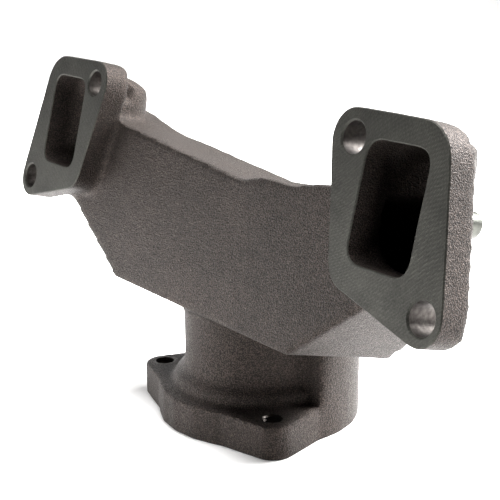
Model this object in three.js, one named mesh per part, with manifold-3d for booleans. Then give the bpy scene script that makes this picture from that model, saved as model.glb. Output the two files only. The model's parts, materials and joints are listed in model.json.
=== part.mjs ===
// Two-port cast-iron exhaust manifold: two bolted port flanges, a flat-fronted log between them
// and a round neck down to a tapped outlet flange. Millimetres, +Z up, standing on the outlet face.
// X runs along the two ports, -Y is the engine side.
import * as THREE from 'three';
import { mergeVertices } from 'three/addons/utils/BufferGeometryUtils.js';
import Module from 'manifold-3d';

// ---------------------------------------------------------------- driving dimensions

// Port faces: both lie in one machined plane, which leans back at the top.
const PORT_PITCH = 210;
const PORT_LEAN = THREE.MathUtils.degToRad(14.1);
const PORT_CENTRE_Z = 105.2;
const PORT_CENTRE_Y = -28.1;
const PORT_WIDTH = 27.4;
const PORT_HEIGHT = 38.4;
const PORT_CORNER = 5;

// Port flange: a convex outline round four corner circles. x is outwards from the port centre.
const FLANGE_THICKNESS = 11.5;
const FLANGE_CORNERS = {
  upperInner: { x: -21.5, y: 18, r: 9.7 },
  lowerInner: { x: -11.5, y: -18.3, r: 10 },
  lowerOuter: { x: 22.3, y: -28, r: 8.9 },
  upperOuter: { x: 8.5, y: 14.4, r: 13.2 },
};
const PORT_BOLT_HOLE = 10.5;
const PORT_BOLTS = [{ x: -21, y: 18.2 }, { x: 22.9, y: -27.9 }];

// Log: a flat front just ahead of the backs of the flanges, and an upright back.
const FRONT_LAP = 0.5;
const LOG_BACK_Y = 15;
const LOG_BOTTOM = -58;
const LOG_BOTTOM_HALF_WIDTH = 59.5;
const LOG_ARM_BOTTOM = -26;
const LOG_RISE_RIGHT = 0.76;
const LOG_RISE_LEFT = 0.53;
const LOG_TOP = [
  [-104, 13], [-92, 8], [-76, 4.4], [-59, 2.7], [-42, 1], [-27, -0.6], [-12, -1.9], [2, -3.4],
  [15, -4.5], [24, -2.6], [33, -1.9], [44, -2.1], [52, -0.5], [61, 1.1], [76, 3], [92, 8], [104, 13],
];
const ARM_END_X = 97.5;
const ARM_END_SLANT = 0.93;
const BACK_CORNER = 12;
const WALL = 4.5;

// Elbow behind each port, standing proud of the log. Its passage rounds well clear of the bolt hole.
const ELBOW_INWARD = 6;
const ELBOW_DEPTH = 18;
const ELBOW_STRAIGHT = 9;
const ELBOW_RADIUS = 15.5;
const ELBOW_SHOULDER = 12;
const PASSAGE_SHOULDER = 13;
const ELBOW_BACK_ROUND = 16;
const ELBOW_FOOT = -40;

// Neck, collar and outlet flange.
const BORE_RADIUS = 23.5;
const NECK_RADIUS = 29.1;
const NECK_TOP = PORT_CENTRE_Z - 55.2;
const COLLAR_RADIUS = 33.3;
const COLLAR_HEIGHT = 3.5;
const COLLAR_FLARE = 5.5;
const OUTLET_THICKNESS = 13.3;
const OUTLET_RADIUS = 39.6;
const OUTLET_WAIST_RADIUS = 37.6;
const OUTLET_LUG = { x: 37.5, y: -20.6, r: 8 };
const TAP_RADIUS = 3.6;
const REAR_TAP_Y = 31.5;
const REAR_TAP_DEPTH = 22;

// Solid rear half of the neck and the hood that closes it behind the log.
const REAR_BOSS_WALL_TOP = 34;
const REAR_BOSS_TOP = 46;
const HOOD_RIDGE_Z = PORT_CENTRE_Z - 27.2;
const HOOD_SLOPE = 1.2;

// Plain steel pin let into the back of the right arm.
const PIN_RADIUS = 4.75;
const PIN_INSET = 17;
const PIN_RISE = -2.6;
const PIN_STAND_OUT = 13;
const PIN_SEAT_DEPTH = 6.5;
const PIN_CLEARANCE = 0.3;
const PIN_CHAMFER = 0.6;
const PIN_BOSS_RADIUS = 7.5;
const PIN_BOSS_STAND_OUT = 4;

const ARC_STEP = THREE.MathUtils.degToRad(15);
const OVERSHOOT = 2;
const FAR = 300;

// ---------------------------------------------------------------- solids

const wasm = await Module();
wasm.setup();

function toSolid(geometry) {
  const bare = geometry.index ? geometry.clone() : geometry;
  bare.deleteAttribute('normal');
  bare.deleteAttribute('uv');
  const merged = mergeVertices(bare, 1e-4);
  return new wasm.Manifold(new wasm.Mesh({
    numProp: 3,
    vertProperties: new Float32Array(merged.attributes.position.array),
    triVerts: new Uint32Array(merged.index.array),
  }));
}

function toGeometry(solid) {
  const { vertProperties, triVerts } = solid.getMesh();
  const geometry = new THREE.BufferGeometry();
  geometry.setAttribute('position', new THREE.BufferAttribute(new Float32Array(vertProperties), 3));
  geometry.setIndex(new THREE.BufferAttribute(new Uint32Array(triVerts), 1));
  geometry.computeVertexNormals();
  return geometry;
}

function union(...solids) {
  return solids.reduce((whole, solid) => whole.add(solid));
}

// ---------------------------------------------------------------- frames

const LEAN_SIN = Math.sin(PORT_LEAN);
const LEAN_COS = Math.cos(PORT_LEAN);
const ALONG = new THREE.Vector3(1, 0, 0);
const UP_FACE = new THREE.Vector3(0, LEAN_SIN, LEAN_COS);
const OUT_OF_FACE = new THREE.Vector3(0, -LEAN_COS, LEAN_SIN);
const INTO_FACE = OUT_OF_FACE.clone().negate();
const FACE_ORIGIN = new THREE.Vector3(0, PORT_CENTRE_Y, PORT_CENTRE_Z);

// Elevation: x along the ports, y up the port plane, z out of it towards the engine.
const ELEVATION = new THREE.Matrix4().makeBasis(ALONG, UP_FACE, OUT_OF_FACE).setPosition(FACE_ORIGIN);
// Plan: x along the ports, y backwards from the port plane, z up it.
const PLAN = new THREE.Matrix4().makeBasis(ALONG, INTO_FACE, UP_FACE).setPosition(FACE_ORIGIN);
const UPRIGHT = new THREE.Matrix4();
// Side view behind the port plane: x backwards from it, y up it, extruded along the ports.
const FACE_SIDE = new THREE.Matrix4().makeBasis(INTO_FACE, UP_FACE, ALONG).setPosition(FACE_ORIGIN);
// Upright side view: outlines drawn as (y, z) and extruded along x.
const SIDEWAYS = new THREE.Matrix4().makeBasis(
  new THREE.Vector3(0, 1, 0), new THREE.Vector3(0, 0, 1), ALONG,
);

function prism(points, from, to, frame) {
  const geometry = new THREE.ExtrudeGeometry(new THREE.Shape(points), {
    depth: to - from,
    bevelEnabled: false,
  });
  geometry.translate(0, 0, from);
  geometry.applyMatrix4(frame);
  return toSolid(geometry);
}

// Extrudes an elevation outline between two depths behind the port plane.
function elevationPrism(points, nearDepth, farDepth) {
  return prism(points, -farDepth, -nearDepth, ELEVATION);
}

function rod(radius, x, y, from, to, frame) {
  return prism(circle(x, y, radius), from, to, frame);
}

function lathe(profile) {
  const points = profile.map(([r, z]) => new THREE.Vector2(r, z));
  const turns = Math.round((2 * Math.PI) / ARC_STEP) * 2;
  const geometry = new THREE.LatheGeometry(points, turns);
  geometry.rotateX(Math.PI / 2);
  return toSolid(geometry);
}

// ---------------------------------------------------------------- outlines

function arc(centre, start, end) {
  const steps = Math.max(1, Math.ceil((end - start) / ARC_STEP));
  return Array.from({ length: steps + 1 }, (_, i) => {
    const angle = start + ((end - start) * i) / steps;
    return new THREE.Vector2(centre.x + centre.r * Math.cos(angle), centre.y + centre.r * Math.sin(angle));
  });
}

function circle(x, y, r) {
  return arc({ x, y, r }, 0, 2 * Math.PI).slice(0, -1);
}

// Tight outline round circles given in anticlockwise order.
function hull(circles) {
  const count = circles.length;
  const tangents = circles.map((a, i) => {
    const b = circles[(i + 1) % count];
    const heading = Math.atan2(b.y - a.y, b.x - a.x);
    return heading - Math.PI / 2 + Math.asin((a.r - b.r) / Math.hypot(b.x - a.x, b.y - a.y));
  });
  return circles.flatMap((c, i) => {
    const start = tangents[(i + count - 1) % count];
    let end = tangents[i];
    while (end < start) end += 2 * Math.PI;
    return arc(c, start, end);
  });
}

function roundedBox(left, right, bottom, top, r) {
  return hull([
    { x: left + r, y: bottom + r, r },
    { x: right - r, y: bottom + r, r },
    { x: right - r, y: top - r, r },
    { x: left + r, y: top - r, r },
  ]);
}

// Moves an outline drawn outwards from a port centre to the right (+1) or left (-1) port.
function atPort(points, side) {
  return points.map((p) => new THREE.Vector2(side * (PORT_PITCH / 2 + p.x), p.y));
}

// ---------------------------------------------------------------- casting

function logTopCurve(inset) {
  const points = LOG_TOP.map(([x, y]) => new THREE.Vector2(x, y - inset));
  return new THREE.SplineCurve(points).getPoints(3 * LOG_TOP.length);
}

// Elevation of the log. Each lower corner rises outwards to the underside of its arm.
function logElevation(inset) {
  const end = PORT_PITCH / 2 + FLANGE_CORNERS.lowerOuter.x;
  const lower = (rise) => {
    const shift = inset * Math.tan(Math.atan(rise) / 2);
    const shoulder = LOG_BOTTOM_HALF_WIDTH + (LOG_ARM_BOTTOM - LOG_BOTTOM) / rise;
    return [
      [LOG_BOTTOM_HALF_WIDTH - shift, LOG_BOTTOM + inset],
      [shoulder - shift, LOG_ARM_BOTTOM + inset],
      [end, LOG_ARM_BOTTOM + inset],
    ];
  };
  const right = lower(LOG_RISE_RIGHT).map(([x, y]) => new THREE.Vector2(x, y));
  const left = lower(LOG_RISE_LEFT).map(([x, y]) => new THREE.Vector2(-x, y));
  const top = logTopCurve(inset).reverse();
  return [
    ...right,
    new THREE.Vector2(end, top[0].y),
    ...top,
    new THREE.Vector2(-end, top[top.length - 1].y),
    ...left.reverse(),
  ];
}

// Plan of the log in upright directions: slanted ends that meet the back in a large radius.
function logPlan(inset) {
  const normal = new THREE.Vector2(1, ARM_END_SLANT).normalize();
  const r = BACK_CORNER - inset;
  const centreX = ARM_END_X - (BACK_CORNER * normal.x) / (1 + normal.y);
  const centreY = LOG_BACK_Y - BACK_CORNER;
  const forward = 80;
  return hull([
    { x: -centreX - forward * ARM_END_SLANT, y: centreY - forward, r },
    { x: centreX + forward * ARM_END_SLANT, y: centreY - forward, r },
    { x: centreX, y: centreY, r },
    { x: -centreX, y: centreY, r },
  ]);
}

function logSolid(inset) {
  return elevationPrism(logElevation(inset), FLANGE_THICKNESS - FRONT_LAP + inset, FAR)
    .intersect(prism(logPlan(inset), -FAR, FAR, UPRIGHT));
}

// Elbow behind a port: the port's own outline plus a wall, rounded off at the back in plan and in side view.
function elbowSolid(side, wall, corner, from) {
  const top = PORT_HEIGHT / 2 + wall;
  const backRadius = ELBOW_RADIUS - WALL + wall;
  const outer = PORT_WIDTH / 2 + wall;
  const elevation = roundedBox(-ELBOW_INWARD - backRadius, outer, -PORT_HEIGHT / 2 - wall, top, corner);
  const cheek = { x: PORT_WIDTH / 2 - WALL, y: ELBOW_STRAIGHT, r: WALL + wall };
  const plan = hull([
    cheek,
    { x: -ELBOW_INWARD, y: ELBOW_DEPTH, r: backRadius },
    { ...cheek, x: -cheek.x },
  ]);
  const backRound = ELBOW_BACK_ROUND - WALL + wall;
  const sideView = hull([
    { x: 0, y: ELBOW_FOOT, r: 1 },
    { x: ELBOW_DEPTH + backRadius - 1, y: ELBOW_FOOT, r: 1 },
    { x: ELBOW_DEPTH + backRadius - backRound, y: top - backRound, r: backRound },
    { x: 0, y: top - backRound, r: backRound },
  ]);
  return elevationPrism(atPort(elevation, side), from, FAR)
    .intersect(prism(atPort(plan, side), -FAR, FAR, PLAN))
    .intersect(prism(sideView, -FAR, FAR, FACE_SIDE));
}

function portDuct(side) {
  const outline = roundedBox(
    -PORT_WIDTH / 2, PORT_WIDTH / 2, -PORT_HEIGHT / 2, PORT_HEIGHT / 2, PORT_CORNER,
  );
  return elevationPrism(atPort(outline, side), -OVERSHOOT, FLANGE_THICKNESS);
}

function portFlange(side) {
  const { upperInner, lowerInner, lowerOuter, upperOuter } = FLANGE_CORNERS;
  const outline = hull([upperInner, lowerInner, lowerOuter, upperOuter]);
  return elevationPrism(atPort(outline, side), 0, FLANGE_THICKNESS);
}

function portBoltHoles(side) {
  const holes = PORT_BOLTS.map(({ x, y }) => {
    const outline = atPort(circle(x, y, PORT_BOLT_HOLE / 2), side);
    return elevationPrism(outline, -OVERSHOOT, FLANGE_THICKNESS + 8);
  });
  return union(...holes);
}

// Half-space behind the outlet axis.
function rearHalf() {
  const box = [[-FAR, 0], [FAR, 0], [FAR, FAR], [-FAR, FAR]].map(([x, y]) => new THREE.Vector2(x, y));
  return prism(box, -FAR, FAR, UPRIGHT);
}

function neckSolid() {
  const collarTop = OUTLET_THICKNESS + COLLAR_HEIGHT;
  return lathe([
    [0, 1],
    [COLLAR_RADIUS, 1],
    [COLLAR_RADIUS, collarTop],
    [NECK_RADIUS + 1, collarTop + COLLAR_FLARE * 0.55],
    [NECK_RADIUS, collarTop + COLLAR_FLARE],
    [NECK_RADIUS, NECK_TOP],
    [0, NECK_TOP],
  ]);
}

function rearBoss() {
  return lathe([
    [0, 1],
    [OUTLET_RADIUS, 1],
    [OUTLET_RADIUS, REAR_BOSS_WALL_TOP],
    [NECK_RADIUS, REAR_BOSS_TOP],
    [0, REAR_BOSS_TOP],
  ]).intersect(rearHalf());
}

// Round back of the neck, carried up behind the log under a sloping roof.
function hoodSolid(radius, ridge) {
  const end = LOG_BACK_Y + radius;
  const side = [
    [0, OUTLET_THICKNESS], [end, OUTLET_THICKNESS], [end, ridge - HOOD_SLOPE * radius],
    [LOG_BACK_Y, ridge], [0, ridge],
  ].map(([y, z]) => new THREE.Vector2(y, z));
  return rod(radius, 0, 0, 0, FAR, UPRIGHT).intersect(prism(side, -FAR, FAR, SIDEWAYS));
}

function outletFlange() {
  const { x, y, r } = OUTLET_LUG;
  const waist = { x: 0, y: 0, r: OUTLET_WAIST_RADIUS };
  return union(
    rod(OUTLET_RADIUS, 0, 0, 0, OUTLET_THICKNESS, UPRIGHT),
    prism(hull([{ x: -x, y, r }, waist]), 0, OUTLET_THICKNESS, UPRIGHT),
    prism(hull([{ x, y, r }, waist]), 0, OUTLET_THICKNESS, UPRIGHT),
  );
}

function outletHoles() {
  const { x, y } = OUTLET_LUG;
  return union(
    rod(TAP_RADIUS, x, y, -OVERSHOOT, OUTLET_THICKNESS + OVERSHOOT, UPRIGHT),
    rod(TAP_RADIUS, -x, y, -OVERSHOOT, OUTLET_THICKNESS + OVERSHOOT, UPRIGHT),
    rod(TAP_RADIUS, 0, REAR_TAP_Y, -OVERSHOOT, REAR_TAP_DEPTH, UPRIGHT),
  );
}

// Boss that backs up the pin on the rear of the right arm, and the blind seat drilled into it.
const PIN_X = PORT_PITCH / 2 - PIN_INSET;
const PIN_BACK_DEPTH = (LOG_BACK_Y - PORT_CENTRE_Y - PIN_RISE * LEAN_SIN) / LEAN_COS;
const PIN_BOSS_END = PIN_BACK_DEPTH + PIN_BOSS_STAND_OUT;
const PIN_SEAT_END = PIN_BOSS_END - PIN_SEAT_DEPTH;

function depthRod(radius, nearDepth, farDepth) {
  return elevationPrism(circle(PIN_X, PIN_RISE, radius), nearDepth, farDepth);
}

function castingOutside() {
  return union(
    logSolid(0),
    ...[1, -1].flatMap((side) => [elbowSolid(side, WALL, ELBOW_SHOULDER, 1), portFlange(side)]),
    neckSolid(),
    rearBoss(),
    hoodSolid(NECK_RADIUS, HOOD_RIDGE_Z),
    outletFlange(),
    depthRod(PIN_BOSS_RADIUS, PIN_BACK_DEPTH - WALL, PIN_BOSS_END),
  );
}

// Gas passage: open at both ports and at the outlet.
function passage() {
  const wallAtRoof = WALL * Math.hypot(1, HOOD_SLOPE);
  return union(
    logSolid(WALL),
    ...[1, -1].flatMap((side) => [elbowSolid(side, 0, PASSAGE_SHOULDER, 0), portDuct(side)]),
    rod(BORE_RADIUS, 0, 0, -OVERSHOOT, NECK_TOP, UPRIGHT),
    hoodSolid(BORE_RADIUS, HOOD_RIDGE_Z - wallAtRoof),
  );
}

function casting() {
  return castingOutside()
    .subtract(passage())
    .subtract(portBoltHoles(1))
    .subtract(portBoltHoles(-1))
    .subtract(outletHoles())
    .subtract(depthRod(PIN_RADIUS + PIN_CLEARANCE, PIN_SEAT_END, PIN_BOSS_END + OVERSHOOT));
}

function rearPin() {
  const near = PIN_SEAT_END + PIN_CLEARANCE;
  const far = PIN_BACK_DEPTH + PIN_STAND_OUT;
  const nose = PIN_RADIUS - PIN_CHAMFER;
  const profile = [
    [0, -far], [nose, -far], [PIN_RADIUS, -far + PIN_CHAMFER],
    [PIN_RADIUS, -near - PIN_CHAMFER], [nose, -near], [0, -near],
  ].map(([r, z]) => new THREE.Vector2(r, z));
  const geometry = new THREE.LatheGeometry(profile, 24);
  geometry.rotateX(Math.PI / 2);
  geometry.translate(PIN_X, PIN_RISE, 0);
  geometry.applyMatrix4(ELEVATION);
  return toSolid(geometry);
}

// ---------------------------------------------------------------- assembly

const castIron = new THREE.MeshStandardMaterial({ color: 0x6a625c, roughness: 0.8, metalness: 0.5 });
const steel = new THREE.MeshStandardMaterial({ color: 0x74756f, roughness: 0.45, metalness: 0.9 });

function addPart(group, name, solid, material) {
  const mesh = new THREE.Mesh(toGeometry(solid), material);
  mesh.name = name;
  group.add(mesh);
}

const manifold = new THREE.Group();
addPart(manifold, 'manifold_casting', casting(), castIron);
addPart(manifold, 'rear_pin', rearPin(), steel);

// The origin is the bottom centre of the overall box.
const bounds = new THREE.Box3().setFromObject(manifold, true);
const centre = bounds.getCenter(new THREE.Vector3());
manifold.position.set(-centre.x, -centre.y, -bounds.min.z);

export default manifold;
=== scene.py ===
"""Two-port cast-iron exhaust manifold: a sand casting with milled faces and drilled holes, and a steel pin."""

import json
import math

import bmesh
import bpy
from mathutils import Matrix, Vector, noise


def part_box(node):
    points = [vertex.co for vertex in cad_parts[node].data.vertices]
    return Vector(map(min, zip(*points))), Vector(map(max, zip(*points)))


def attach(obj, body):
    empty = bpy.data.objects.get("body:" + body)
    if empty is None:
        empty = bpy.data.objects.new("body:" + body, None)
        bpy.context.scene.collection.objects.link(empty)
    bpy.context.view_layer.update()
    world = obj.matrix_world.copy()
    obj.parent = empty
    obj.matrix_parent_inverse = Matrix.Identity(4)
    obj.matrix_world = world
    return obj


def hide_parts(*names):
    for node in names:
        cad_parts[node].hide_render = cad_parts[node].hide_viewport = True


MM = 0.001

# ------------------------------------------------------------------ frame

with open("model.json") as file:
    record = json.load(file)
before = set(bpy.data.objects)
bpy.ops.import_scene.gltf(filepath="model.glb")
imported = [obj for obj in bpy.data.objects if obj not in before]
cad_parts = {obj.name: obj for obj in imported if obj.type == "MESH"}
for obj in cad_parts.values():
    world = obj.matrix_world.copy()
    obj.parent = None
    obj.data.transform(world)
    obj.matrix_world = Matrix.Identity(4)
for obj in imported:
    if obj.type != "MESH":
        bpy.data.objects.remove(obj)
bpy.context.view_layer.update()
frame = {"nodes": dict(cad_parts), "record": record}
record = frame["record"]
MOUNTS = {m["name"]: m for m in record["mounts"]}
OPENINGS = {o["name"]: [Vector(corner) for corner in o["box_m"]] for o in record["physics"]["openings"]}

# The milled port plane: a point on it, its outward direction, and up it.
FACE_POINT = Vector(MOUNTS["port_face_right"]["pos_m"])
FACE_OUT = Vector(MOUNTS["port_face_right"]["axis"]).normalized()
FACE_UP = FACE_OUT.cross(Vector((1, 0, 0)))
DOWN = Vector((0, 0, -1))

FLANGE_THICKNESS = 11.5 * MM
PORT_BOLT_RADIUS = 5.25 * MM
OUTLET_THICKNESS = 13.3 * MM
TAP_RADIUS = 3.6 * MM
REAR_TAP_DEPTH = 22 * MM
THREAD_PITCH = 1.25 * MM
THREAD_DEPTH = 0.55 * MM
PIN_RADIUS = 4.75 * MM
PIN_CLEARANCE = 0.3 * MM
PIN_SEAT_DEPTH = 6.5 * MM
PIN_CHAMFER = 0.6 * MM

# Milling stock, the grid that the mould's shape is drawn on, and the edges broken after machining.
STOCK = 3 * MM
GRAIN = 1.25 * MM
EDGE_BREAK = 0.4 * MM
HOLE_BREAK = 0.6 * MM

# A plug reaches this far into the wall of the hole it fills, and a cutter runs this far past the metal.
PLUG_OVERLAP = 0.4 * MM
OVERRUN = 2 * MM
SEAT_PLUG_DEPTH = 0.5 * MM
SEAT_OVERRUN = 12 * MM

# How close a vertex lies to a face to be on it, a face's middle to a milled plane to be part of it, and to
# the middle of a tapped hole, along it, to be on its wall.
ON_FACE = 0.01 * MM
FACE_TOLERANCE = 0.4 * MM
TAP_REACH = 15.5 * MM

# Smoothing passes that round the mould's corners, and where each number of them applies: the elbows behind
# the flanges, the foot of the log above the neck, and the base.
SOFT_PASSES = 11
LOG_PASSES = 4
BASE_PASSES = 2
ELBOW_DEPTH, ELBOW_X, ELBOW_Z = 13 * MM, 62 * MM, 96 * MM
FOOT_DEPTH, FOOT_X, FOOT_LOW_Z, FOOT_HIGH_Z = 14 * MM, 50 * MM, 20 * MM, 52 * MM
BASE_TOP = 30 * MM

# Height of the casting skin's waves, and how many there are to the metre.
SLOW_WAVE, SLOW_PER_METRE = 0.14 * MM, 45
FINE_WAVE, FINE_PER_METRE = 0.08 * MM, 260
SKIN_LOSS = 0.02 * MM

SHARP_ANGLE = math.radians(32)


def centre_of(name):
    low, high = OPENINGS[name]
    return (low + high) / 2


def depth_behind_face(point):
    return (FACE_POINT - point).dot(FACE_OUT)


PORT_BOLTS = [
    centre_of(f"bolt_hole_{side}_{place}") for side in ("right", "left") for place in ("inner", "outer")
]
TAPS = {name: centre_of(f"outlet_tap_{name}") for name in ("right", "left", "rear")}
PIN_LOW, PIN_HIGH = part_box("rear_pin")


# ------------------------------------------------------------------ colour and materials


def linear(hex_colour):
    """sRGB hex to the linear RGBA that sockets take."""
    channels = [int(hex_colour[i : i + 2], 16) / 255 for i in (1, 3, 5)]
    return [c / 12.92 if c <= 0.04045 else ((c + 0.055) / 1.055) ** 2.4 for c in channels] + [1.0]


def add(tree, kind, settings=None, stops=(), **inputs):
    """Adds a node and sets its properties, its colour stops, and its sockets by name (i0, i1 by number)."""
    made = tree.nodes.new(kind)
    for name, value in (settings or {}).items():
        setattr(made, name, value)
    for index, (place, colour) in enumerate(stops):
        elements = made.color_ramp.elements
        element = elements[index] if index < len(elements) else elements.new(place)
        element.position = place
        element.color = linear(colour) if isinstance(colour, str) else (colour, colour, colour, 1)
    for name, value in inputs.items():
        by_number = name[0] == "i" and name[1:].isdigit()
        socket = made.inputs[int(name[1:]) if by_number else name.replace("_", " ")]
        if isinstance(value, bpy.types.NodeSocket):
            tree.links.new(value, socket)
        else:
            socket.default_value = value
    return made


def new_material(name):
    material = bpy.data.materials.new(name)
    material.use_nodes = True
    material.node_tree.nodes.clear()
    return material, material.node_tree


def per_mm(size_mm):
    """Noise scale whose cells are about this many millimetres across."""
    return 1000 / size_mm


# The face mill's arcs: the middle of each set, and how far apart its lines are in millimetres.
CUTTER_ARCS = [((0.062, -0.022, 0.145), 0.9), ((0.150, -0.040, 0.055), 1.3)]


def sand_cast_iron():
    """Grey iron poured in green sand and shot blasted: a dull grey-brown skin of bright and dark flecks."""
    material, tree = new_material("sand_cast_grey_iron")
    position = add(tree, "ShaderNodeTexCoord").outputs["Object"]
    grains = add(tree, "ShaderNodeTexNoise", Vector=position, Scale=per_mm(0.42), Detail=1.0, Roughness=0.6)
    pits = add(tree, "ShaderNodeTexVoronoi", Vector=position, Scale=per_mm(0.7), Randomness=1.0)
    clouds = add(tree, "ShaderNodeTexNoise", Vector=position, Scale=per_mm(26), Detail=4.0, Roughness=0.6)
    fleck = add(tree, "ShaderNodeValToRGB", stops=[(0.38, "#302b28"), (0.5, "#68605b"), (0.62, "#c8beb6")],
                i0=grains.outputs["Fac"])
    patch = add(tree, "ShaderNodeValToRGB", stops=[(0.3, "#342f2c"), (0.7, "#403a37")],
                i0=clouds.outputs["Fac"])
    colour = add(tree, "ShaderNodeMix", {"data_type": "RGBA", "blend_type": "OVERLAY"}, Factor=0.8,
                 i6=patch.outputs["Color"], i7=fleck.outputs["Color"])
    rough = add(tree, "ShaderNodeValToRGB", stops=[(0.3, 0.72), (0.7, 0.5)], i0=grains.outputs["Fac"])
    relief = add(tree, "ShaderNodeMath", {"operation": "MULTIPLY_ADD"}, i0=pits.outputs["Distance"], i1=0.5,
                 i2=grains.outputs["Fac"])
    bump = add(tree, "ShaderNodeBump", Height=relief.outputs[0], Strength=1.0, Distance=0.32 * MM)
    shader = add(tree, "ShaderNodeBsdfPrincipled", Base_Color=colour.outputs[2], Metallic=0.75,
                 Roughness=rough.outputs["Color"], Normal=bump.outputs["Normal"])
    add(tree, "ShaderNodeOutputMaterial", Surface=shader.outputs["BSDF"])
    return material


def milled_iron():
    """Face-milled grey iron: even grey, with fine overlapping cutter arcs and a soft sheen."""
    material, tree = new_material("face_milled_grey_iron")
    position = add(tree, "ShaderNodeTexCoord").outputs["Object"]
    arcs = []
    for centre, width in CUTTER_ARCS:
        about = add(tree, "ShaderNodeMapping", {"vector_type": "POINT"}, Vector=position,
                    Location=[-c for c in centre])
        wave = add(tree, "ShaderNodeTexWave", {"wave_type": "RINGS", "rings_direction": "SPHERICAL"},
                   Vector=about.outputs[0], Scale=2 * math.pi * per_mm(width) / 20, Distortion=2.5, Detail=3.0,
                   Detail_Scale=0.4, Detail_Roughness=0.7)
        arcs.append(wave.outputs["Fac"])
    arc = add(tree, "ShaderNodeMath", {"operation": "MULTIPLY"}, i0=arcs[0], i1=arcs[1])
    clouds = add(tree, "ShaderNodeTexNoise", Vector=position, Scale=per_mm(14), Detail=4.0, Roughness=0.65)
    grains = add(tree, "ShaderNodeTexNoise", Vector=position, Scale=per_mm(0.5), Detail=2.0)
    tone = add(tree, "ShaderNodeValToRGB", stops=[(0.3, "#403f3c"), (0.7, "#53524e")],
               i0=clouds.outputs["Fac"])
    speck = add(tree, "ShaderNodeValToRGB", stops=[(0.35, "#5c5e5a"), (0.65, "#a0a19b")],
                i0=grains.outputs["Fac"])
    line = add(tree, "ShaderNodeValToRGB", stops=[(0.0, "#6a6b67"), (1.0, "#a6a7a1")], i0=arc.outputs[0])
    grained = add(tree, "ShaderNodeMix", {"data_type": "RGBA", "blend_type": "OVERLAY"}, Factor=0.4,
                  i6=tone.outputs["Color"], i7=speck.outputs["Color"])
    colour = add(tree, "ShaderNodeMix", {"data_type": "RGBA", "blend_type": "OVERLAY"}, Factor=0.5,
                 i6=grained.outputs[2], i7=line.outputs["Color"])
    rough = add(tree, "ShaderNodeValToRGB", stops=[(0.3, 0.68), (0.7, 0.52)], i0=grains.outputs["Fac"])
    relief = add(tree, "ShaderNodeMath", {"operation": "MULTIPLY_ADD"}, i0=grains.outputs["Fac"], i1=0.5,
                 i2=arc.outputs[0])
    bump = add(tree, "ShaderNodeBump", Height=relief.outputs[0], Strength=0.5, Distance=0.08 * MM)
    shader = add(tree, "ShaderNodeBsdfPrincipled", Base_Color=colour.outputs[2], Metallic=0.85,
                 Roughness=rough.outputs["Color"], Normal=bump.outputs["Normal"])
    add(tree, "ShaderNodeOutputMaterial", Surface=shader.outputs["BSDF"])
    return material


def drilled_iron():
    """Drilled and tapped grey iron: dark, smooth and faintly mottled on each hole's wall."""
    material, tree = new_material("drilled_grey_iron")
    position = add(tree, "ShaderNodeTexCoord").outputs["Object"]
    mottle = add(tree, "ShaderNodeTexNoise", Vector=position, Scale=per_mm(1.2), Detail=3.0)
    colour = add(tree, "ShaderNodeValToRGB", stops=[(0.3, "#35312f"), (0.7, "#4b4744")],
                 i0=mottle.outputs["Fac"])
    rough = add(tree, "ShaderNodeValToRGB", stops=[(0.3, 0.55), (0.7, 0.42)], i0=mottle.outputs["Fac"])
    bump = add(tree, "ShaderNodeBump", Height=mottle.outputs["Fac"], Strength=0.3, Distance=0.08 * MM)
    shader = add(tree, "ShaderNodeBsdfPrincipled", Base_Color=colour.outputs["Color"], Metallic=0.95,
                 Roughness=rough.outputs["Color"], Normal=bump.outputs["Normal"])
    add(tree, "ShaderNodeOutputMaterial", Surface=shader.outputs["BSDF"])
    return material


def turned_steel():
    """Plain turned steel bar left in stock: smooth grey with dull oxide."""
    material, tree = new_material("turned_bar_steel")
    position = add(tree, "ShaderNodeTexCoord").outputs["Object"]
    oxide = add(tree, "ShaderNodeTexNoise", Vector=position, Scale=per_mm(5), Detail=5.0, Roughness=0.6)
    fine = add(tree, "ShaderNodeTexNoise", Vector=position, Scale=per_mm(0.6), Detail=2.0)
    colour = add(tree, "ShaderNodeValToRGB", stops=[(0.3, "#3a3b37"), (0.7, "#51524d")],
                 i0=oxide.outputs["Fac"])
    rough = add(tree, "ShaderNodeValToRGB", stops=[(0.3, 0.5), (0.7, 0.36)], i0=oxide.outputs["Fac"])
    bump = add(tree, "ShaderNodeBump", Height=fine.outputs["Fac"], Strength=0.25, Distance=0.06 * MM)
    shader = add(tree, "ShaderNodeBsdfPrincipled", Base_Color=colour.outputs["Color"], Metallic=0.95,
                 Roughness=rough.outputs["Color"], Normal=bump.outputs["Normal"])
    add(tree, "ShaderNodeOutputMaterial", Surface=shader.outputs["BSDF"])
    return material


def studio_paper():
    """Seamless white background paper: matt, with the faintest fibre."""
    material, tree = new_material("seamless_white_paper")
    position = add(tree, "ShaderNodeTexCoord").outputs["Object"]
    fibre = add(tree, "ShaderNodeTexNoise", Vector=position, Scale=per_mm(3), Detail=2.0)
    colour = add(tree, "ShaderNodeValToRGB", stops=[(0.3, "#f6f5f4"), (0.7, "#faf9f8")],
                 i0=fibre.outputs["Fac"])
    shader = add(tree, "ShaderNodeBsdfPrincipled", Base_Color=colour.outputs["Color"], Roughness=0.9,
                 Emission_Color=linear("#ffffff"), Emission_Strength=0.16)
    add(tree, "ShaderNodeOutputMaterial", Surface=shader.outputs["BSDF"])
    return material


# ------------------------------------------------------------------ mesh helpers


def new_piece(name, bm, materials):
    mesh = bpy.data.meshes.new(name)
    bm.to_mesh(mesh)
    bm.free()
    piece = bpy.data.objects.new(name, mesh)
    bpy.context.scene.collection.objects.link(piece)
    for material in materials:
        mesh.materials.append(material)
    return piece


def bake_modifiers(piece):
    """Replaces the piece's mesh with what its modifiers make of it."""
    depsgraph = bpy.context.evaluated_depsgraph_get()
    made = bpy.data.meshes.new_from_object(piece.evaluated_get(depsgraph))
    old = piece.data
    piece.modifiers.clear()
    piece.data = made
    made.name = piece.name
    bpy.data.meshes.remove(old)


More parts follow.
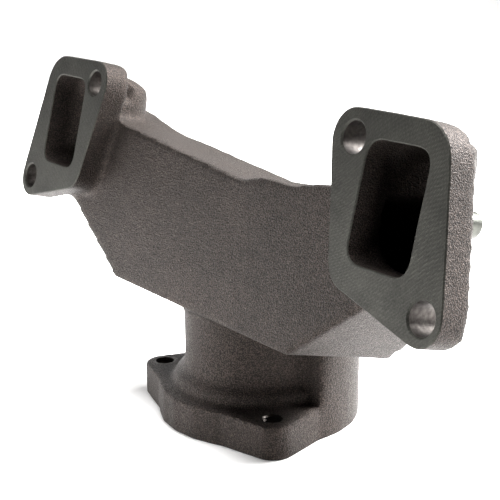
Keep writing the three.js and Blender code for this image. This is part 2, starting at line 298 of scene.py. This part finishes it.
def add_rod(bm, radius, start, end, segments=48, start_radius=None):
    """A closed round bar between two points, or a cone frustum where the start has its own radius."""
    axis = end - start
    turn = axis.to_track_quat("Z", "Y").to_matrix().to_4x4()
    place = Matrix.Translation((start + end) / 2) @ turn
    bmesh.ops.create_cone(bm, cap_ends=True, segments=segments, depth=axis.length, matrix=place,
                          radius1=radius if start_radius is None else start_radius, radius2=radius)


def cut(piece, bm, name):
    """Takes the closed shapes in bm away from the piece."""
    cutter = new_piece(name, bm, [])
    step = piece.modifiers.new(name, "BOOLEAN")
    step.operation = "DIFFERENCE"
    step.solver = "MANIFOLD"
    step.object = cutter
    bake_modifiers(piece)
    bpy.data.objects.remove(cutter)


# ------------------------------------------------------------------ casting


# Material slots of the casting, by the tool that made the face.
CAST, MILLED, DRILLED = 0, 1, 2


def pin_axis_point(distance):
    """A point on the pin's axis, so far from its inner end towards its outer end."""
    inner_top = Vector(((PIN_LOW.x + PIN_HIGH.x) / 2, PIN_LOW.y, PIN_HIGH.z))
    inner = inner_top - FACE_UP * PIN_RADIUS
    return inner - FACE_OUT * distance


def on_port_face(point):
    """The point of the milled port plane straight in front of the given one."""
    return point + FACE_OUT * depth_behind_face(point)


def rough_casting():
    """The foundry's casting: milling stock on the faces, holes not yet drilled."""
    bm = bmesh.new()
    bm.from_mesh(frame["nodes"]["manifold_casting"].data)
    bmesh.ops.remove_doubles(bm, verts=bm.verts, dist=1e-6)
    for vert in bm.verts:
        if abs(depth_behind_face(vert.co)) < ON_FACE:
            vert.co += STOCK * FACE_OUT
        if vert.co.z < ON_FACE:
            vert.co += STOCK * DOWN
    for point in PORT_BOLTS:
        start = on_port_face(point) + FACE_OUT * STOCK
        add_rod(bm, PORT_BOLT_RADIUS + PLUG_OVERLAP, start, start - FACE_OUT * (STOCK + FLANGE_THICKNESS))
    for name, point in TAPS.items():
        top = REAR_TAP_DEPTH + OVERRUN if name == "rear" else OUTLET_THICKNESS
        bottom = Vector((point.x, point.y, -STOCK))
        add_rod(bm, TAP_RADIUS + PLUG_OVERLAP, bottom, Vector((point.x, point.y, top)))
    seat = pin_axis_point(-SEAT_PLUG_DEPTH)
    add_rod(bm, PIN_RADIUS + PIN_CLEARANCE + PLUG_OVERLAP, seat, seat - FACE_OUT * PIN_SEAT_DEPTH)
    return bm


def softness(point):
    """Smoothing passes for a corner here: flanges stay crisp, the elbows and the foot of the log are round."""
    depth = depth_behind_face(point)
    elbow = depth > ELBOW_DEPTH and abs(point.x) > ELBOW_X and point.z > ELBOW_Z
    foot = depth > FOOT_DEPTH and abs(point.x) < FOOT_X and FOOT_LOW_Z < point.z < FOOT_HIGH_Z
    if elbow or foot:
        return SOFT_PASSES
    return BASE_PASSES if point.z < BASE_TOP else LOG_PASSES


def cast_skin(bm):
    """Rounds the corners as a sand mould does, and gives the skin its slow waves."""
    passes = {vert: softness(vert.co) for vert in bm.verts}
    for turn in range(max(passes.values())):
        bmesh.ops.smooth_vert(bm, verts=[v for v, n in passes.items() if n > turn], factor=0.5,
                              use_axis_x=True, use_axis_y=True, use_axis_z=True)
    bm.normal_update()
    for vert in bm.verts:
        slow = SLOW_WAVE * noise.noise(vert.co * SLOW_PER_METRE)
        fine = FINE_WAVE * noise.noise(vert.co * FINE_PER_METRE + Vector((7, 3, 1)))
        vert.co += vert.normal * (slow + fine - SKIN_LOSS)


def big_slab(point, outward):
    """A slab far larger than the casting, whose one face passes through point, lying on the outward side."""
    bm = bmesh.new()
    size = 0.6
    turn = outward.to_track_quat("Z", "Y").to_matrix().to_4x4()
    place = Matrix.Translation(point + outward * size / 2) @ turn
    bmesh.ops.create_cube(bm, size=size, matrix=place)
    return bm


def mill(piece, point, outward):
    """Mills a flat face through point, and breaks its sharp edges with a narrow chamfer."""
    cut(piece, big_slab(point - outward * EDGE_BREAK, outward), "mill")
    bm = bmesh.new()
    bm.from_mesh(piece.data)
    cut_faces = [
        face for face in bm.faces
        if face.normal.dot(outward) > 0.999
        and abs((face.calc_center_median() - point).dot(outward) + EDGE_BREAK) < 0.02 * MM
    ]
    bmesh.ops.inset_region(bm, faces=cut_faces, thickness=EDGE_BREAK, depth=EDGE_BREAK, use_even_offset=True,
                           use_boundary=True)
    bm.to_mesh(piece.data)
    bm.free()


def drills():
    """The drills for the port bolts and for the pin's seat."""
    bm = bmesh.new()
    for point in PORT_BOLTS:
        face = on_port_face(point)
        add_rod(bm, PORT_BOLT_RADIUS, face + FACE_OUT * MM, face - FACE_OUT * (FLANGE_THICKNESS + OVERRUN))
    seat = pin_axis_point(-PIN_CLEARANCE)
    add_rod(bm, PIN_RADIUS + PIN_CLEARANCE, seat, seat - FACE_OUT * (PIN_SEAT_DEPTH + SEAT_OVERRUN))
    return bm


def countersinks():
    """Short cones that break the edge of each port bolt hole."""
    bm = bmesh.new()
    for point in PORT_BOLTS:
        face = on_port_face(point)
        step = FACE_OUT * HOLE_BREAK
        add_rod(bm, PORT_BOLT_RADIUS + 2 * HOLE_BREAK, face - step, face + step,
                start_radius=PORT_BOLT_RADIUS - 0.001 * MM)
    return bm


def screw_taps(points, length):
    """Screw-cut bars: each ring of a bar swells and shrinks as the thread turns past it."""
    bm = bmesh.new()
    segments, rings_per_pitch = 40, 6
    rings = int(length / THREAD_PITCH * rings_per_pitch)
    for point in points:
        start = Vector((point.x, point.y, -OVERRUN))
        middle = start + Vector((0, 0, length / 2))
        made = bmesh.ops.create_cone(bm, cap_ends=True, segments=segments, depth=length, radius1=TAP_RADIUS,
                                     radius2=TAP_RADIUS, matrix=Matrix.Translation(middle))
        edges = {edge for vert in made["verts"] for edge in vert.link_edges}
        sides = [edge for edge in edges if abs(edge.verts[0].co.z - edge.verts[1].co.z) > length / 2]
        cuts = bmesh.ops.subdivide_edges(bm, edges=sides, cuts=rings, use_grid_fill=True)
        for vert in {g for g in cuts["geom_inner"] if isinstance(g, bmesh.types.BMVert)}:
            out = Vector((vert.co.x - point.x, vert.co.y - point.y, 0))
            turn = math.atan2(out.y, out.x) / (2 * math.pi)
            phase = ((vert.co.z - start.z) / THREAD_PITCH - turn) % 1
            vert.co += out.normalized() * THREAD_DEPTH * (1 - 2 * abs(phase - 0.5))
    return bm


def finish_of(face, holes):
    """Which tool made this face: the mould, the mill or a drill."""
    if abs(depth_behind_face(face.center)) < FACE_TOLERANCE and face.normal.dot(FACE_OUT) > 0.5:
        return MILLED
    if face.center.z < FACE_TOLERANCE and face.normal.dot(DOWN) > 0.5:
        return MILLED
    for point, axis, reach, half_depth in holes:
        offset = face.center - point
        along = offset.dot(axis)
        if (offset - axis * along).length < reach and abs(along) < half_depth:
            return DRILLED
    return CAST


def mark_finishes(mesh):
    """Gives each face the finish of the tool that made it."""
    holes = [(p, FACE_OUT, PORT_BOLT_RADIUS + MM, FLANGE_THICKNESS / 2 + 0.5 * MM) for p in PORT_BOLTS]
    holes += [(p, DOWN, TAP_RADIUS + MM, TAP_REACH) for p in TAPS.values()]
    for face in mesh.polygons:
        face.material_index = finish_of(face, holes)


def manifold():
    materials = [sand_cast_iron(), milled_iron(), drilled_iron()]
    piece = new_piece("cast_manifold", rough_casting(), materials)
    grid = piece.modifiers.new("mould", "REMESH")
    grid.mode = "VOXEL"
    grid.voxel_size = GRAIN
    bake_modifiers(piece)

    bm = bmesh.new()
    bm.from_mesh(piece.data)
    cast_skin(bm)
    bm.to_mesh(piece.data)
    bm.free()

    # The milling cutter takes the stock off the port faces and the outlet face.
    mill(piece, FACE_POINT, FACE_OUT)
    mill(piece, Vector((0, 0, 0)), DOWN)

    cut(piece, drills(), "drills")
    cut(piece, countersinks(), "countersinks")
    cut(piece, screw_taps([TAPS["right"], TAPS["left"]], OUTLET_THICKNESS + 2 * OVERRUN), "front_taps")
    cut(piece, screw_taps([TAPS["rear"]], REAR_TAP_DEPTH + OVERRUN), "rear_tap")

    mark_finishes(piece.data)
    piece.data.shade_smooth()
    piece.data.set_sharp_from_angle(angle=SHARP_ANGLE)
    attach(piece, "root")
    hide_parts("manifold_casting")


def pin():
    """The plain steel pin: a turned bar with broken edges."""
    bm = bmesh.new()
    depths = [depth_behind_face(v.co) for v in frame["nodes"]["rear_pin"].data.vertices]
    length = max(depths) - min(depths)
    add_rod(bm, PIN_RADIUS, pin_axis_point(0), pin_axis_point(length), segments=64)
    rims = [e for e in bm.edges if any(len(f.verts) > 4 for f in e.link_faces)]
    bmesh.ops.bevel(bm, geom=rims, offset=PIN_CHAMFER, offset_type="OFFSET", segments=3, profile=0.5,
                    affect="EDGES", material=-1)
    bmesh.ops.recalc_face_normals(bm, faces=bm.faces)
    piece = new_piece("steel_pin", bm, [turned_steel()])
    piece.data.shade_smooth()
    piece.data.set_sharp_from_angle(angle=SHARP_ANGLE)
    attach(piece, "root")
    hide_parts("rear_pin")


# ------------------------------------------------------------------ studio


CAMERA_AZIMUTH = math.radians(55)
CAMERA_PITCH = math.radians(15.08)
CAMERA_ROLL = math.radians(-0.49)
CAMERA_PLACE = Vector((0.3613, -0.2568, 0.1845))
CAMERA_LENS_MM = 85.69

PAPER_WIDTH = 12
PAPER_IN_FRONT = 3
PAPER_FLAT = 4.2
PAPER_WALL = 3
SWEEP_RADIUS = 0.8
SWEEP_STEPS = 12


def sweep():
    """The paper lies flat under the casting, then curves up behind it."""
    bm = bmesh.new()
    behind = Vector((-math.sin(CAMERA_AZIMUTH), math.cos(CAMERA_AZIMUTH), 0))
    side = Vector((behind.y, -behind.x, 0))
    corner = -behind * PAPER_IN_FRONT - side * PAPER_WIDTH / 2
    front = [bm.verts.new(corner), bm.verts.new(corner + side * PAPER_WIDTH)]
    edge = bm.edges.new(front)
    turn = math.pi / 2 / SWEEP_STEPS
    steps = [behind * PAPER_FLAT]
    for index in range(SWEEP_STEPS):
        before, after = index * turn, (index + 1) * turn
        ahead = behind * (math.sin(after) - math.sin(before))
        steps.append(SWEEP_RADIUS * (ahead + Vector((0, 0, math.cos(before) - math.cos(after)))))
    steps.append(Vector((0, 0, PAPER_WALL)))
    for step in steps:
        made = bmesh.ops.extrude_edge_only(bm, edges=[edge])["geom"]
        bmesh.ops.translate(bm, verts=[g for g in made if isinstance(g, bmesh.types.BMVert)], vec=step)
        edge = next(g for g in made if isinstance(g, bmesh.types.BMEdge))
    piece = new_piece("paper_sweep", bm, [studio_paper()])
    piece.data.shade_smooth()


def soft_box(name, place, target, size, power):
    light = bpy.data.lights.new(name, "AREA")
    light.shape = "RECTANGLE"
    light.size, light.size_y = size
    light.energy = power
    lamp = bpy.data.objects.new(name, light)
    lamp.location = place
    lamp.rotation_euler = (Vector(target) - Vector(place)).to_track_quat("-Z", "Y").to_euler()
    bpy.context.scene.collection.objects.link(lamp)


def studio():
    world = bpy.data.worlds.new("studio")
    world.use_nodes = True
    background = world.node_tree.nodes["Background"]
    background.inputs["Color"].default_value = linear("#ffffff")
    background.inputs["Strength"].default_value = 0.06
    bpy.context.scene.world = world
    bpy.context.scene.view_settings.view_transform = "Standard"
    soft_box("top_box", (0.05, 0.3, 1.0), (0, 0, 0.05), (0.9, 0.9), 42)
    soft_box("left_box", (-0.9, 0.15, 0.35), (0, 0, 0.06), (0.5, 0.7), 3.0)
    soft_box("right_box", (0.2, 0.6, 0.5), (0, 0, 0.04), (0.4, 0.5), 30)
    soft_box("low_card", (-0.14, -0.22, 0.02), (-0.02, 0, 0.005), (0.25, 0.03), 0.7)


def camera():
    """A long lens, 55 degrees round from the front of the ports, looking 15 degrees down."""
    level = Vector((-math.sin(CAMERA_AZIMUTH), math.cos(CAMERA_AZIMUTH), 0))
    ahead = level * math.cos(CAMERA_PITCH) + DOWN * math.sin(CAMERA_PITCH)
    turn = ahead.to_track_quat("-Z", "Y").to_matrix().to_4x4() @ Matrix.Rotation(CAMERA_ROLL, 4, "Z")
    lens = bpy.data.cameras.new("camera")
    lens.sensor_width = 36
    lens.lens = CAMERA_LENS_MM
    lens.clip_start = 0.01
    piece = bpy.data.objects.new("camera", lens)
    piece.matrix_world = Matrix.Translation(CAMERA_PLACE) @ turn
    bpy.context.scene.collection.objects.link(piece)
    bpy.context.scene.camera = piece


manifold()
pin()
sweep()
studio()
camera()
